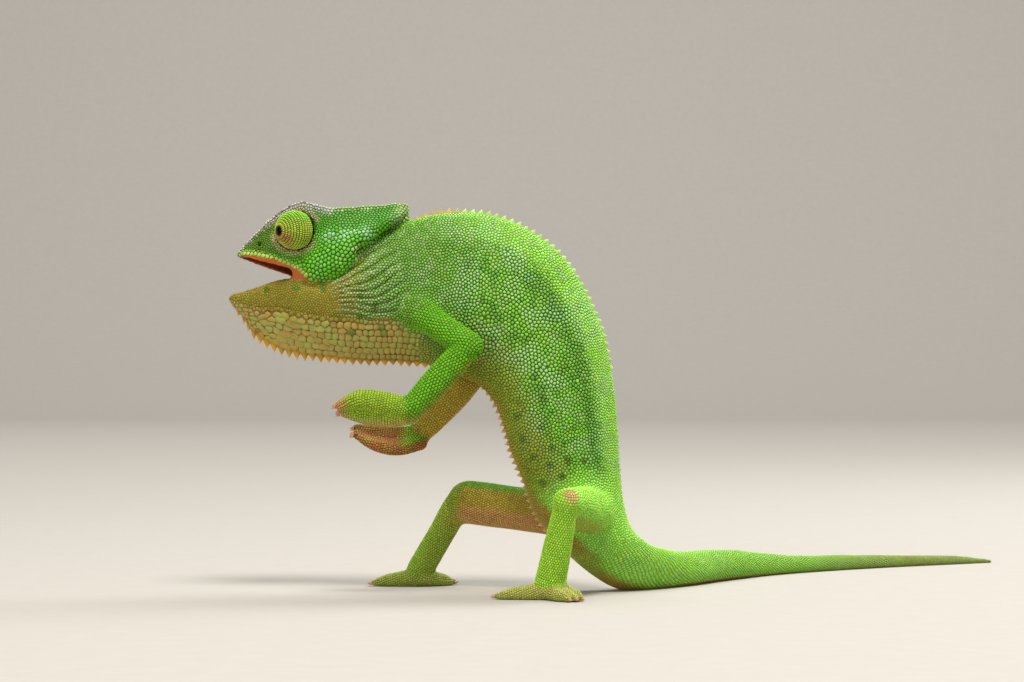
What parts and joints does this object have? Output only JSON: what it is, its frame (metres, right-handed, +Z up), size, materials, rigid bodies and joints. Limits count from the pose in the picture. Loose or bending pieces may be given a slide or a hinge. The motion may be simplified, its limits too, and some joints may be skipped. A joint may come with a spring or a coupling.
{
  "type": "chameleon",
  "caption": "Still, life-size chameleon rearing on its hind legs and tail with the mouth open and the forearms folded before it, tail laid along the floor.",
  "frame": {"origin": "middle of the animal's box, at the level of the floor it rests on", "axes": "+X from the snout towards the tail tip, +Y from the animal's left side to its right, +Z up"},
  "size_m": [0.1968, 0.1326, 0.092],
  "materials": {
    "skin": "living scaly skin: low round tubercles in rows, bright green mixed with pale bluish green, satin",
    "throat_skin": "pleated throat skin: olive-tan polygonal scales with red-brown grooves and an orange-yellow crest",
    "toe_skin": "fine scaled skin of the fused toes, yellow-green turning to orange-pink at the tips and palms",
    "eye_skin": "lid cone with rings of fine granules, yellow-green with an orange patch low in front",
    "eyeball": "wet dark eye with a narrow brown iris",
    "claw": "translucent brown horn, smooth"
  },
  "bodies": {
    "root": {"claw_foot_left_inner_1": "claw", "claw_foot_left_inner_2": "claw", "claw_foot_left_outer_1": "claw", "claw_foot_left_outer_2": "claw", "claw_foot_left_outer_3": "claw", "claw_foot_right_inner_1": "claw", "claw_foot_right_inner_2": "claw", "claw_foot_right_outer_1": "claw", "claw_foot_right_outer_2": "claw", "claw_foot_right_outer_3": "claw", "claw_hand_left_inner_1": "claw", "claw_hand_left_inner_2": "claw", "claw_hand_left_inner_3": "claw", "claw_hand_left_outer_1": "claw", "claw_hand_left_outer_2": "claw", "claw_hand_right_inner_1": "claw", "claw_hand_right_inner_2": "claw", "claw_hand_right_inner_3": "claw", "claw_hand_right_outer_1": "claw", "claw_hand_right_outer_2": "claw", "eye_left": "eyeball", "eye_right": "eyeball", "eye_turret_left": "eye_skin", "eye_turret_right": "eye_skin", "foot_left_inner": "toe_skin", "foot_left_outer": "toe_skin", "foot_right_inner": "toe_skin", "foot_right_outer": "toe_skin", "forearm_left": "skin", "forearm_right": "skin", "hand_left_inner": "toe_skin", "hand_left_outer": "toe_skin", "hand_right_inner": "toe_skin", "hand_right_outer": "toe_skin", "head": "skin", "lower_jaw_and_throat": "throat_skin", "neck": "skin", "pelvis": "skin", "shin_left": "skin", "shin_right": "skin", "tail_1": "skin", "tail_2": "skin", "tail_3": "skin", "tail_4": "skin", "tail_5": "skin", "thigh_left": "skin", "thigh_right": "skin", "trunk_front": "skin", "trunk_rear": "skin", "upper_arm_left": "skin", "upper_arm_right": "skin"}
  },
  "joints": []
}
